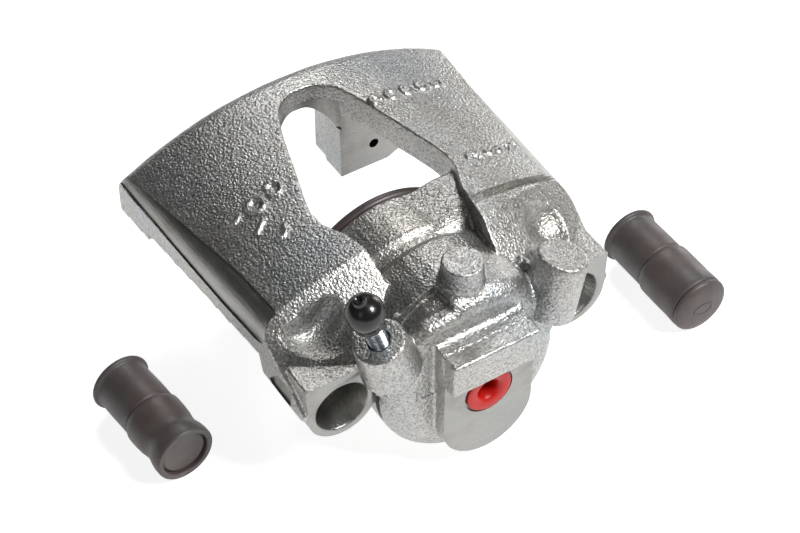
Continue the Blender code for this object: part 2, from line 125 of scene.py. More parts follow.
# Loose sleeves
SLEEVE_LENGTH = 45.0
SLEEVE_RADIUS = 12.3
SLEEVES = {"left": (-100.0, 52.5, math.radians(5.2)), "right": (105.5, 13.5, 0.0)}
SLEEVE_FLARE = {
    "left": [
        (11.95, -6.0), (11.75, -9.0), (11.3, -11.5), (11.1, -13.2), (11.35, -15.0), (11.9, -17.0),
        (12.2, -19.0),
    ],
    "right": [(12.05, -8.0), (12.05, -12.0), (12.0, -15.5), (12.05, -18.0), (12.15, -20.0)],
}
SLEEVE_SAG = {"left": 0.55, "right": 0.15}
OUTER_SKIN = 9.5

ALONG_Y = (-math.pi / 2, 0, 0)
UPRIGHT = (0, 0, 0)


def at(x, y, z):
    """A place in the caliper's own axes, in metres."""
    return AXIS + Vector((x, y, z)) * MM


# ---------------------------------------------------------------- shapes

def link(mesh, name, matrix=None):
    """A new object in the scene, holding the mesh."""
    made = bpy.data.objects.new(name, mesh)
    bpy.context.scene.collection.objects.link(made)
    if matrix is not None:
        made.matrix_world = matrix
    return made


def pose(location, rotation):
    """The matrix that turns and then places a shape."""
    return Matrix.Translation(location) @ Euler(rotation).to_matrix().to_4x4()


def arc(centre, radius, first, last, steps):
    """Points on an arc: angles in degrees, from the first axis of the plane towards the second."""
    angles = [math.radians(first + (last - first) * i / steps) for i in range(steps + 1)]
    return [(centre[0] + radius * math.cos(a), centre[1] + radius * math.sin(a)) for a in angles]


def lathe(name, profile, location, rotation=ALONG_Y, closed=False, steps=128):
    """A turned mesh: the profile is (radius, height) in millimetres, down the outer side first."""
    work = bmesh.new()
    rings = []
    for radius, height in profile:
        if radius <= 0:
            rings.append([work.verts.new((0, 0, height * MM))])
            continue
        turns = [2 * math.pi * i / steps for i in range(steps)]
        rings.append([
            work.verts.new((radius * MM * math.cos(a), radius * MM * math.sin(a), height * MM)) for a in turns
        ])
    pairs = list(zip(rings, rings[1:]))
    if closed:
        pairs.append((rings[-1], rings[0]))
    for upper, lower in pairs:
        for i in range(steps):
            j = (i + 1) % steps
            corners = [
                upper[i % len(upper)], lower[i % len(lower)], lower[j % len(lower)], upper[j % len(upper)],
            ]
            unique = list(dict.fromkeys(corners))
            if len(unique) > 2:
                work.faces.new(unique)
    bmesh.ops.recalc_face_normals(work, faces=work.faces)
    mesh = bpy.data.meshes.new(name)
    work.to_mesh(mesh)
    work.free()
    made = link(mesh, name, pose(location, rotation))
    mesh.shade_smooth()
    mesh.set_sharp_from_angle(angle=TURNED_SHARP)
    return made


def loft(name, sections):
    """A closed skin through rings of points in the caliper's own axes, capped at both ends."""
    work = bmesh.new()
    rings = [[work.verts.new(at(*point)) for point in section] for section in sections]
    for first, second in zip(rings, rings[1:]):
        for i in range(len(first)):
            j = (i + 1) % len(first)
            work.faces.new((first[i], first[j], second[j], second[i]))
    work.faces.new(rings[0])
    work.faces.new(rings[-1])
    bmesh.ops.recalc_face_normals(work, faces=work.faces)
    mesh = bpy.data.meshes.new(name)
    work.to_mesh(mesh)
    work.free()
    return link(mesh, name)


PLANES = {
    "XY": Matrix(((1, 0, 0), (0, 1, 0), (0, 0, 1))),
    "XZ": Matrix(((1, 0, 0), (0, 0, 1), (0, 1, 0))),
    "YZ": Matrix(((0, 0, 1), (1, 0, 0), (0, 1, 0))),
}


def plate(name, outline, start, end, plane="XZ"):
    """A flat outline with thickness, from start to end along the axis that its plane leaves out."""
    work = bmesh.new()
    turn = PLANES[plane]
    low = [work.verts.new(AXIS + turn @ Vector((u, v, start)) * MM) for u, v in outline]
    high = [work.verts.new(AXIS + turn @ Vector((u, v, end)) * MM) for u, v in outline]
    work.faces.new(low)
    work.faces.new(high)
    for i in range(len(outline)):
        j = (i + 1) % len(outline)
        work.faces.new((low[i], low[j], high[j], high[i]))
    bmesh.ops.recalc_face_normals(work, faces=work.faces)
    mesh = bpy.data.meshes.new(name)
    work.to_mesh(mesh)
    work.free()
    return link(mesh, name)


def mirrored(half):
    """A whole outline from its +X half, listed from the middle of one side to the other."""
    return half + [(-x, y) for x, y in reversed(half)]


def baked(obj):
    """The object's mesh in world axes with its modifiers applied."""
    depsgraph = bpy.context.evaluated_depsgraph_get()
    mesh = bpy.data.meshes.new_from_object(obj.evaluated_get(depsgraph))
    mesh.transform(obj.matrix_world)
    return mesh


def joined(name, objects):
    """One object holding the meshes of several, which are removed unless they are the frame's own."""
    work = bmesh.new()
    for obj in objects:
        mesh = baked(obj)
        work.from_mesh(mesh)
        bpy.data.meshes.remove(mesh)
        if obj.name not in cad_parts:
            bpy.data.objects.remove(obj)
    bmesh.ops.remove_doubles(work, verts=work.verts, dist=0.000002)
    mesh = bpy.data.meshes.new(name)
    work.to_mesh(mesh)
    work.free()
    return link(mesh, name)


def cut_away(target, cutter, operation="DIFFERENCE"):
    """Applies one Boolean and removes its tool; cut faces take the tool's material."""
    step = target.modifiers.new(cutter.name, "BOOLEAN")
    step.operation = operation
    step.object = cutter
    step.solver = "MANIFOLD"
    step.material_mode = "TRANSFER"
    mesh = baked(target)
    target.modifiers.clear()
    target.data = mesh
    target.matrix_world = Matrix()
    bpy.data.objects.remove(cutter)


# ---------------------------------------------------------------- materials

class Nodes:
    """A short way to write a material's node tree."""

    def __init__(self, name):
        self.material = bpy.data.materials.new(name)
        self.material.use_nodes = True
        self.tree = self.material.node_tree
        self.shader = self.tree.nodes["Principled BSDF"]
        self.place = self.add("ShaderNodeTexCoord").outputs["Object"]

    def add(self, kind, **settings):
        node = self.tree.nodes.new(kind)
        for key, value in settings.items():
            setattr(node, key, value)
        return node

    def join(self, source, target):
        self.tree.links.new(source, target)

    def noise(self, scale, detail=4.0, roughness=0.5, vector=None):
        node = self.add("ShaderNodeTexNoise")
        node.inputs["Scale"].default_value = scale
        node.inputs["Detail"].default_value = detail
        node.inputs["Roughness"].default_value = roughness
        self.join(vector or self.place, node.inputs["Vector"])
        return node.outputs["Fac"]

    def cells(self, scale, smoothness):
        node = self.add("ShaderNodeTexVoronoi", feature="SMOOTH_F1")
        node.inputs["Scale"].default_value = scale
        node.inputs["Smoothness"].default_value = smoothness
        self.join(self.place, node.inputs["Vector"])
        return node.outputs["Distance"]

    def ramp(self, source, stops):
        """Stops are (position, value or colour)."""
        node = self.add("ShaderNodeValToRGB")
        elements = node.color_ramp.elements
        while len(elements) < len(stops):
            elements.new(0.5)
        for element, (position, value) in zip(elements, stops):
            element.position = position
            element.color = (*value, 1) if isinstance(value, tuple) else (value, value, value, 1)
        self.join(source, node.inputs["Fac"])
        return node.outputs["Color"]

    def math(self, operation, first, second):
        node = self.add("ShaderNodeMath", operation=operation)
        for socket, value in zip(node.inputs, (first, second)):
            if isinstance(value, (int, float)):
                socket.default_value = value
            else:
                self.join(value, socket)
        return node.outputs[0]

    def mix(self, factor, first, second, blend="MIX"):
        node = self.add("ShaderNodeMix", data_type="RGBA", blend_type=blend)
        for socket, value in ((node.inputs[0], factor), (node.inputs[6], first), (node.inputs[7], second)):
            if isinstance(value, (int, float)):
                socket.default_value = value
            elif isinstance(value, tuple):
                socket.default_value = (*value, 1)
            else:
                self.join(value, socket)
        return node.outputs[2]

    def bump(self, height, distance, strength=1.0, normal=None):
        node = self.add("ShaderNodeBump")
        node.inputs["Strength"].default_value = strength
        node.inputs["Distance"].default_value = distance
        self.join(height, node.inputs["Height"])
        if normal:
            self.join(normal, node.inputs["Normal"])
        return node.outputs["Normal"]

    def set(self, name, value):
        socket = self.shader.inputs[name]
        if isinstance(value, (int, float)):
            socket.default_value = value
        elif isinstance(value, tuple):
            socket.default_value = (*value, 1)
        else:
            self.join(value, socket)


def cast_zinc():
    """Zinc-plated cast iron: pebbled skin, silver grey with warm and blue patches."""
    m = Nodes("zinc_plated_casting")
    patches = m.noise(20, 4, 0.6)
    tones = [(0.32, (0.385, 0.37, 0.34)), (0.5, (0.415, 0.41, 0.395)), (0.66, (0.36, 0.375, 0.38))]
    tone = m.ramp(patches, tones)
    grain = m.noise(1150, 2, 0.55)
    speck = m.ramp(grain, [(0.33, 0.55), (0.48, 0.92), (0.63, 1.15)])
    m.set("Base Color", m.mix(1.0, tone, speck, "MULTIPLY"))
    m.set("Metallic", 0.96)
    m.set("Roughness", m.ramp(m.noise(260, 4), [(0.3, 0.33), (0.7, 0.43)]))
    pebbles = m.math("ADD", m.math("MULTIPLY", m.cells(900, 0.6), -0.9), m.noise(1500, 2, 0.5))
    coarse = m.ramp(m.noise(36, 3), [(0.38, 0.7), (0.62, 1.0)])
    m.set("Normal", m.bump(m.math("MULTIPLY", pebbles, coarse), 0.00030))
    return m.material


def machined_zinc():
    """Milled and bored faces: smooth, with faint cutter lines."""
    m = Nodes("zinc_plated_machined")
    streak = m.add("ShaderNodeMapping")
    streak.inputs["Scale"].default_value = (1.0, 1.0, 26.0)
    m.join(m.place, streak.inputs["Vector"])
    lines = m.noise(80, 3, 0.6, streak.outputs["Vector"])
    tones = [(0.3, (0.235, 0.228, 0.21)), (0.5, (0.30, 0.295, 0.28)), (0.7, (0.27, 0.28, 0.275))]
    tone = m.ramp(m.noise(55, 5, 0.6), tones)
    m.set("Base Color", tone)
    m.set("Metallic", 0.95)
    m.set("Roughness", m.ramp(lines, [(0.3, 0.25), (0.7, 0.38)]))
    fine = m.bump(m.noise(1400, 3, 0.6), 0.00014)
    m.set("Normal", m.bump(lines, 0.00008, 1.0, fine))
    return m.material


def bright_steel(name, colour, roughness):
    """Plated or polished steel with faint handling marks."""
    m = Nodes(name)
    tone = m.mix(m.noise(180, 4), tuple(0.88 * c for c in colour), colour)
    m.set("Base Color", tone)
    m.set("Metallic", 1.0)
    m.set("Roughness", m.ramp(m.noise(500, 3), [(0.3, roughness * 0.8), (0.7, roughness * 1.3)]))
    m.set("Normal", m.bump(m.noise(900, 3), 0.00008))
    return m.material


def rubber(name, colour, roughness, dust=0.35):
    """Moulded rubber with faint handling marks and talc."""
    m = Nodes(name)
    marks = m.ramp(m.noise(95, 5, 0.6), [(0.4, 0.0), (0.75, 1.0)])
    warm = tuple(c * f for c, f in zip(colour, (1.25, 1.05, 1.0)))
    base = m.mix(m.ramp(m.noise(28, 2), [(0.4, 0.0), (0.62, 1.0)]), colour, warm)
    pale = tuple(min(1.0, c * 1.9 + 0.006) for c in colour)
    m.set("Base Color", m.mix(m.math("MULTIPLY", marks, dust), base, pale))
    m.set("Roughness", m.ramp(m.noise(140, 4), [(0.3, roughness * 0.85), (0.7, min(1.0, roughness * 1.15))]))
    coarse = m.bump(m.noise(160, 2), 0.0003, 0.6)
    m.set("Normal", m.bump(m.noise(1500, 3), 0.00006, 0.6, coarse))
    return m.material


def red_plastic():
    """Moulded red plastic with a soft sheen."""
    m = Nodes("red_plastic")
    m.set("Base Color", m.mix(m.noise(160, 3), (0.36, 0.005, 0.003), (0.44, 0.008, 0.005)))
    m.set("Roughness", m.ramp(m.noise(260, 3), [(0.3, 0.33), (0.7, 0.45)]))
    m.set("Specular IOR Level", 0.3)
    m.set("Normal", m.bump(m.noise(1100, 2), 0.00005, 0.5))
    return m.material


CAST = cast_zinc()
MACHINED = machined_zinc()
SCREW_ZINC = bright_steel("bluish_zinc", (0.68, 0.76, 0.82), 0.2)
CHROME = bright_steel("chromed_piston", (0.66, 0.66, 0.66), 0.16)
RING_STEEL = bright_steel("ring_steel", (0.5, 0.5, 0.5), 0.32)
SEAL_RUBBER = rubber("seal_rubber", (0.02, 0.02, 0.02), 0.5)
BOOT_RUBBER = rubber("boot_rubber", (0.034, 0.025, 0.024), 0.42)
CAP_RUBBER = rubber("cap_rubber", (0.008, 0.007, 0.007), 0.22, 0.15)
SLEEVE_RUBBER = rubber("sleeve_rubber", (0.048, 0.043, 0.042), 0.5)
RED = red_plastic()


# ---------------------------------------------------------------- the casting

def bleed_place(side, lift=0.0):
    """A point on a tilted boss axis and the turn that puts local Z along it."""
    axis = Vector((side * math.sin(BLEED_TILT), 0, math.cos(BLEED_TILT)))
    point = Vector((side * BLEED_TOP.x, BLEED_TOP.y, BLEED_TOP.z)) + axis * lift
    return at(*point), (0, side * BLEED_TILT, 0)


def machining_stock():
    """Extra iron where edges have to stay crisp: milled faces and bores, the ledge and the round boss."""
    ear = [(36.6, 19.2), (64.6, 19.8), *arc((EAR_X, EAR_Z), EAR_RADIUS, 0, -180, 24)]
    for side in (-1, 1):
        outline = [(side * x, z) for x, z in ear]
        yield plate("stock_ear", outline, EAR_FACE - 1.6, EAR_FACE + 26)
        finger = [(13.0, 22), (13.0, -1), (35, -1), (43.5, 3.5), (50, 14), (40, 30)]
        yield plate("stock_finger", [(side * x, z) for x, z in finger], FINGER_FACE - 2, FINGER_FACE + 12)
    width = SPOT_HALF_WIDTH
    spot = [(width, 14), *arc((0, SPOT_ROUND_Z), width, 0, -180, 32), (-width, 14)]
    yield plate("stock_spot", spot, SPOT_FACE - 1.6, SPOT_FACE + 14)
    ledge = [(-25.9, 26.6), (-25.3, 27.4), (-18.8, 27.4), (-8, 30), (-5, 10), (-18.5, 10), (-25.9, 13)]
    yield plate("stock_ledge", ledge, -18.9, 17.4, plane="YZ")
    boss = [(0, 50), (7.3, 50), (7.7, 49.6), (8.2, 38), (0, 38)]
    yield lathe("stock_boss", boss, at(0, -1.05, 0), UPRIGHT)
    wall = CYLINDER_RADIUS - 0.1
    cylinder = [(0, MOUTH + 1.5), (wall, MOUTH + 1.5), (wall, 0), (28, -10), (0, -12)]
    yield lathe("stock_cylinder", cylinder, at(0, 0, 0))


def tube(name, points, radius, steps=20):
    """A round bar along a path whose points are (x, y, z)."""
    path = [Vector(point) for point in points]
    sections = []
    for i, point in enumerate(path):
        along = (path[min(i + 1, len(path) - 1)] - path[max(i - 1, 0)]).normalized()
        first = along.cross(Vector((0, 1, 0))).normalized()
        second = along.cross(first)
        angles = [2 * math.pi * k / steps for k in range(steps)]
        sections.append([point + (first * math.cos(a) + second * math.sin(a)) * radius for a in angles])
    return loft(name, sections)


def front_ridge():
    """The thick rounded edge between the dome's top and its inboard wall."""
    path = [
        (-24.4, 15), (-24.6, 20), (-24.4, 25), (-22.8, 29.3), (-19.2, 31.8), (-13, 33.0), (-6, 33.8),
        (1, 34.2), (7, 33.9), (12.5, 32.2), (18, 28.6), (23, 23.8), (27.3, 18), (29.8, 12), (30.6, 5),
    ]
    return tube("front_ridge", [(x, -8.2, z) for x, z in path], 4.3)


def carvings():
    """The hollows of the casting: over the left ear, beside the ridge and below it."""
    trough = [(0, 22), (9.5, 22), (12.5, 20.8), (13.8, 17.5), (14, -14), (0, -14)]
    yield lathe("ear_trough", trough, at(-52.0, 0, 34.9))
    below = [(-20, 27.7), (-15.0, 28.2), (-13.4, 29.4), (-12.6, 31.5), (-12.5, 38), (-20, 38)]
    yield plate("below_ridge", below, -27, 13, plane="YZ")
    wing = [(-27, -27), (-19.3, -27), (-19.3, -13.2), (-27, -13.2)]
    yield plate("beside_ledge", wing, 4, 40, plane="XY")
    shoulder = [(-29, 23), (-25.5, 25), (-22.5, 29.5), (-16, 34.4), (-9, 37), (-9, 44), (-29, 44)]
    yield plate("beside_ridge", shoulder, -19, 2)


def tilted_bosses():
    """The bleeder's boss and the blank one, over the hollows."""
    for side, length in ((-1, BLEED_BOSS_LENGTH), (1, BLANK_BOSS_LENGTH)):
        point, rotation = bleed_place(side)
        profile = [(0, 0), (9.1, 0), (9.7, -0.7), (11.3, -length), (0, -length)]
        yield lathe("tilted_boss", profile, point, rotation)


def saddle_fill():
    """Iron between the cylinder's rim and the right arm, where the frame's solid leaves a gap."""
    sections = []
    for y, top in ((14, 22), (20, 29.5), (27, 36.2), (33, 38.6), (49, 38.9)):
        left = min(top, 36.0)
        sections.append([(4, y, 20), (4, y, left), (20, y, top), (36, y, top), (38, y, 12), (20, y, 8)])
    return loft("saddle_fill", sections)


def web_ridges():
    """The ribs that run from the dome's flank up to the two tilted bosses."""
    yield tube("web_right", [(26, 3, 33), (31, 0, 25), (36, -2, 15), (40, -3, 4)], 2.6)
    yield tube("web_left", [(-24, 2, 33), (-29, 0, 25), (-33, -2, 14), (-36, -3, 4)], 2.6)


def roof_z(x):
    """The height of the bridge's arched roof."""
    return ROOF_AXIS_Z + math.sqrt(ROOF_RADIUS ** 2 - x ** 2)


def roof_ring(name, x, y, radius, thick, start, sweep):
    """A raised ring, or part of one, on the bridge's roof."""
    steps = max(6, round(sweep / 12))
    sections = []
    for i in range(steps + 1):
        angle = math.radians(start + sweep * i / steps)
        cx, cy = math.cos(angle), math.sin(angle)
        ring = []
        for side, dz in MARK_SECTION:
            px, py = x + (radius + side * thick) * cx, y + (radius + side * thick) * cy
            ring.append((px, py, roof_z(px) + dz))
        sections.append(ring)
    return loft(name, sections)


def roof_bar(name, x, y, length, thick, angle):
    """A raised bar on the bridge's roof."""
    along = Vector((math.cos(math.radians(angle)), math.sin(math.radians(angle))))
    across = Vector((-along.y, along.x))
    sections = []
    for i in range(5):
        middle = Vector((x, y)) + along * length * (i / 4 - 0.5)
        ring = []
        for side, dz in MARK_SECTION:
            point = middle + across * side * thick
            ring.append((point.x, point.y, roof_z(point.x) + dz))
        sections.append(ring)
    return loft(name, sections)


def foundry_marks():
    """Plain rings and bars, raised on the roof where a foundry puts its marks."""
    yield roof_ring("mark_ring", -42.6, 70.4, 3.1, 0.75, 0, 350)
    yield roof_ring("mark_arc", -34.0, 72.4, 3.1, 0.75, 200, 300)
    yield roof_ring("mark_hook", -52.0, 72.5, 2.9, 0.65, 180, 150)
    yield roof_bar("mark_bar", -46.0, 61.0, 6.5, 0.7, 38)
    yield roof_ring("mark_corner", -42.6, 54.5, 3.2, 0.7, 230, 150)
    for i in range(5):
        yield roof_ring("mark_row", 22.0 + 7.4 * i, 91.5 + 0.9 * i, 2.3, 0.6, 40 * i, 250)
    for i in range(6):
        yield roof_ring("mark_rib", 37.0 + 4.4 * i, 49.0 + 0.6 * i, 1.6, 0.5, 70 * i, 230)


def half_width(y):
    """Half the bridge's width, which grows outboard."""
    share = (y - INBOARD_END) / (OUTBOARD_FACE - INBOARD_END)
    return HALF_WIDTH_IN + (HALF_WIDTH_OUT - HALF_WIDTH_IN) * share


def edge_band(side):
    """The air that a form cutter clears along one long edge: round at the inboard end, pointed outboard."""
    sections = []
    stations = [BAND_START + BAND_RUNOUT * (1 - math.cos(math.radians(a))) for a in range(4, 91, 8)]
    stations += [float(y) for y in range(34, 132, 6)]
    for y in stations:
        level = ROOF_RADIUS - BAND_ROUND
        centre_x = half_width(y) - BAND_ROUND
        centre_z = ROOF_AXIS_Z + math.sqrt(level ** 2 - centre_x ** 2)
        inward = min(1.0, (y - BAND_START) / BAND_RUNOUT)
        grown = math.sqrt(max(0.0, 1 - (1 - inward) ** 2))
        narrow = 1 - 0.7 * min(1.0, max(0.0, (y - 50) / 76))
        half_sweep = BAND_SWEEP / 2 * grown * narrow
        middle = 33 - 6 * (1 - narrow)
        radius = BAND_ROUND + 1.6 - (BAND_DEPTH + 1.6) * grown
        curve = arc((centre_x, centre_z), radius, middle - half_sweep, middle + half_sweep, 14)
        spare = arc((centre_x, centre_z), BAND_ROUND + 9, middle + half_sweep, middle - half_sweep, 14)
        sections.append([(side * x, y, z) for x, z in curve + spare])
    return loft("edge_band", sections)


def step_line():
    """The air in the shallow crease across the bridge's right arm."""
    sections = []
    steps = 12
    for i in range(steps + 1):
        share = i / steps
        x, y = 23.0 + 48 * share, 28.5 + 6.0 * share
        depth = STEP_DEPTH * math.sin(math.pi * min(1.0, 0.12 + share * 0.9)) ** 0.5
        top = roof_z(x)
        sections.append([
            (x, y - 3.2, top + 3), (x, y + 1.4, top + 3), (x, y + 1.0, top - 0.1), (x, y + 0.4, top - depth),
            (x, y - 0.9, top - depth), (x, y - 3.2, top + 0.2),
        ])
    return loft("step_line", sections)


def finger_and_ear_cutters():
    """The milled faces and bores that come in pairs."""
    for side in (-1, 1):
        outline = [(side * x, z) for x, z in ((34, 24), (34, -14), (78, -14), (78, 24))]
        yield plate("mill_ear", outline, EAR_FACE - 2.6, EAR_FACE)
        outline = [(side * x, z) for x, z in ((8, 30.5), (8, -9), (62, -9), (62, 12), (47, 30.5))]
        yield plate("mill_finger", outline, FINGER_FACE - 7, FINGER_FACE)
        mouth = EAR_BORE_RADIUS + 0.7
        bore = [(0, 52), (EAR_BORE_RADIUS, 52), (EAR_BORE_RADIUS, 0.7), (mouth, 0), (mouth, -4), (0, -4)]
        yield lathe("bore_ear", bore, at(side * EAR_X, EAR_FACE, EAR_Z))
        drill = [(0, 9), (PAD_HOLE_RADIUS, 9), (PAD_HOLE_RADIUS, -3), (0, -3)]
        yield lathe("drill_pad", drill, at(side * PAD_HOLE[0], FINGER_FACE, PAD_HOLE[1]), steps=48)


def cylinder_cutters():
    """The spot face, the cylinder's mouth and bore, the hose port and the bleeder's hole."""
    reach = SPOT_HALF_WIDTH + 3
    spot = [(reach, SPOT_TOP), *arc((0, SPOT_ROUND_Z), reach, 0, -180, 48), (-reach, SPOT_TOP)]
    yield plate("mill_spot", spot, SPOT_FACE - 9, SPOT_FACE)
    rim = CYLINDER_RADIUS + 3
    mouth = [(0, MOUTH + 4), (rim, MOUTH + 4), (rim, MOUTH), (0, MOUTH)]
    yield lathe("mill_mouth", mouth, at(0, 0, 0))
    seat = MOUTH - RING_SEAT_DEPTH
    bore = [
        (0, MOUTH + 2), (RING_SEAT_RADIUS, MOUTH + 2), (RING_SEAT_RADIUS, seat), (BORE_RADIUS, seat),
        (BORE_RADIUS, SEAL_GROOVE[1]), (SEAL_GROOVE_RADIUS, SEAL_GROOVE[1]),
        (SEAL_GROOVE_RADIUS, SEAL_GROOVE[0]), (BORE_RADIUS, SEAL_GROOVE[0]),
        (BORE_RADIUS, BORE_BOTTOM + 1.5), (BORE_RADIUS - 1.5, BORE_BOTTOM), (0, BORE_BOTTOM),
    ]
    yield lathe("bore", bore, at(0, 0, 0))
    sink = SPOT_FACE + COUNTERBORE_DEPTH
    end = SPOT_FACE + PORT_DEPTH
    port = [
        (0, end + 3), (2, end + 3), (2, end - 1.5), (PORT_RADIUS, end - 2.5), (PORT_RADIUS, sink),
        (COUNTERBORE_RADIUS, sink), (COUNTERBORE_RADIUS, SPOT_FACE - 9), (0, SPOT_FACE - 9),
    ]
    yield lathe("port", port, at(0, 0, 0))
    point, rotation = bleed_place(-1)
    hole = [
        (0, 4), (BLEED_HOLE_RADIUS + 4.9, 4), (BLEED_HOLE_RADIUS + 0.9, 0), (BLEED_HOLE_RADIUS, -0.9),
        (BLEED_HOLE_RADIUS, -BLEED_HOLE_DEPTH), (1.2, -BLEED_HOLE_DEPTH - 3), (0, -BLEED_HOLE_DEPTH - 3),
    ]
    yield lathe("drill_bleeder", hole, point, rotation)


def bridge_cutters():
    """The long edges, the small pads on the sides and the step around the window's outboard end."""
    for side in (-1, 1):
        yield edge_band(side)
        pad = [(7.5, 4.6), (6.0, 14.4), (15.5, 14.0), (22.0, 6.4), (20.5, 4.2)]
        limits = sorted((side * 65.2, side * 72.0))
        yield plate("mill_side_pad", pad, *limits, plane="YZ")
    step = mirrored([(9.5, 93), (14.0, 95), *arc((0, 99.5), 14.6, 10, 90, 12)[:-1]])
    yield plate("window_step", step, ROOF_TOP - 22, ROOF_TOP - 7.5, plane="XY")


def voxelled(obj, smooth_steps):
    """The object's union as an even skin, with its corners rounded by smoothing."""
    remesh = obj.modifiers.new("voxels", "REMESH")
    remesh.mode = "VOXEL"
    remesh.voxel_size = VOXEL * MM * 1
    if smooth_steps:
        smooth = obj.modifiers.new("fillets", "SMOOTH")
        smooth.factor = 0.5
        smooth.iterations = smooth_steps
    mesh = baked(obj)
    bpy.data.objects.remove(obj)
    return link(mesh, "raw_casting")


def cast_body():
    """The raw casting: the frame's solid, filled, carved and given stock, rounded as sand-cast iron is."""
    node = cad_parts["caliper_housing"]
    solid = voxelled(joined("solid", [node, saddle_fill(), *web_ridges()]), 0)
    for hollow in carvings():
        cut_away(solid, hollow)
    shapes = [solid, front_ridge(), *tilted_bosses(), *machining_stock(), *foundry_marks()]
    raw = voxelled(joined("raw", shapes), SMOOTH_STEPS)
    mesh = raw.data
    bpy.data.objects.remove(raw)
    roughen(mesh)
    mesh.materials.clear()
    mesh.materials.append(CAST)
    return link(mesh, "caliper_casting")


def roughen(mesh):
    """Moves the skin by the slow waves and shallow pits of a sand mould."""
    count = len(mesh.vertices)
    places = np.empty(count * 3)
    normals = np.empty(count * 3)
    mesh.vertices.foreach_get("co", places)
    mesh.vertex_normals.foreach_get("vector", normals)
    places = places.reshape(-1, 3)
    normals = normals.reshape(-1, 3)
    shift = np.empty(count)
    for i, place in enumerate(places):
        point = Vector(place)
        shift[i] = WAVE_HEIGHT * noise.noise(point * 60) + PIT_HEIGHT * noise.noise(point * 420)
    places += normals * (shift * MM)[:, None]
    mesh.vertices.foreach_set("co", places.ravel())
    mesh.update()


def build_casting():
    """The whole casting: the raw skin, its crease, and then everything that is machined."""
    casting = cast_body()
    casting.data.materials.append(MACHINED)
    crease = step_line()
    crease.data.materials.append(CAST)
    cut_away(casting, crease)
    for cutter in (*finger_and_ear_cutters(), *cylinder_cutters(), *bridge_cutters()):
        cutter.data.materials.clear()
        cutter.data.materials.append(MACHINED)
        cut_away(casting, cutter)
    casting.data.shade_smooth()
    casting.data.set_sharp_from_angle(angle=CASTING_SHARP)
    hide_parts("caliper_housing")
    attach(casting, "caliper")


# ---------------------------------------------------------------- turned pieces

def add_piece(piece, node, body, look):
    """Puts a finer piece in a frame node's place."""
    piece.data.materials.clear()
    piece.data.materials.append(look)
    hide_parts(node)
    if body:
        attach(piece, body)


def bead(middle, radius, reach, first, last, steps=5):
    """A rounded rib in a profile: centre height and radius of the turned surface, and how far it stands."""
    return [(radius + reach * math.cos(math.radians(a)), middle + reach * math.sin(math.radians(a)))
            for a in (first + (last - first) * i / steps for i in range(steps + 1))]


def build_piston():
    """A cup, open outboard, with a groove for the boot."""
    inner = 22.5
    profile = [
        (0, 1), (inner - 3, 1), (inner - 1, 1.6), (inner, 3.6), (inner, PISTON_FACE - 0.8),
        (inner + 0.8, PISTON_FACE), (26.2, PISTON_FACE), (27, PISTON_FACE - 0.8), (27, 55.1), (26.7, 54.8),
        (25.4, 54.6), (25.4, 52.4), (26.7, 52.2), (27, 51.9), (27, -4.5), (26.6, -5.5), (25.5, -6), (0, -6),
    ]
    add_piece(lathe("piston_cup", profile, at(0, 0, 0)), "piston", "piston", CHROME)


def build_seal_and_ring():
    """The square seal in its groove, and the steel ring that holds the boot."""
    seal = [
        (29.3, 40.3), (29.5, 40.0), (29.5, 36.6), (29.3, 36.3), (27.5, 36.3), (27.3, 36.6), (27.3, 40.0),
        (27.5, 40.3),
    ]
    add_piece(lathe("square_seal", seal, at(0, 0, 0), closed=True), "piston_seal", "caliper", SEAL_RUBBER)
    ring = [
        (32.6, 49.7), (32.9, 49.4), (32.9, 44.6), (32.6, 44.3), (30.0, 44.3), (29.6, 44.7), (29.6, 45.2),
        (30.0, 45.5), (31.3, 45.6), (31.7, 46.1), (31.7, 49.4), (31.9, 49.7),
    ]
    add_piece(lathe("boot_ring", ring, at(0, 0, 0), closed=True), "boot_retaining_ring", "caliper",
              RING_STEEL)


def build_boot():
    """Two soft convolutions between the cylinder's mouth and the piston's groove."""
    profile = [
        *bead(53.3, 34.3, 2.05, 95, -80, 12), (34.2, 50.8), (33.4, 50.35), (31.0, 50.35), (30.3, 50.9),
        (29.8, 51.6), (29.3, 51.0), (28.7, 50.6), (28.1, 50.9), (27.9, 52.7), (25.8, 52.7), (25.7, 53.0),
        (25.7, 54.0), (25.8, 54.3), (28.3, 54.3), (29.0, 53.7), (29.9, 53.2), (30.6, 53.9), (31.3, 54.8),
        (32.6, 55.4),
    ]
    boot = lathe("convoluted_boot", profile, at(0, 0, 0), closed=True, steps=160)
    boot.data.transform(boot.matrix_world)
    boot.matrix_world = Matrix()
    add_piece(boot, "dust_boot", None, BOOT_RUBBER)
    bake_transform(boot)


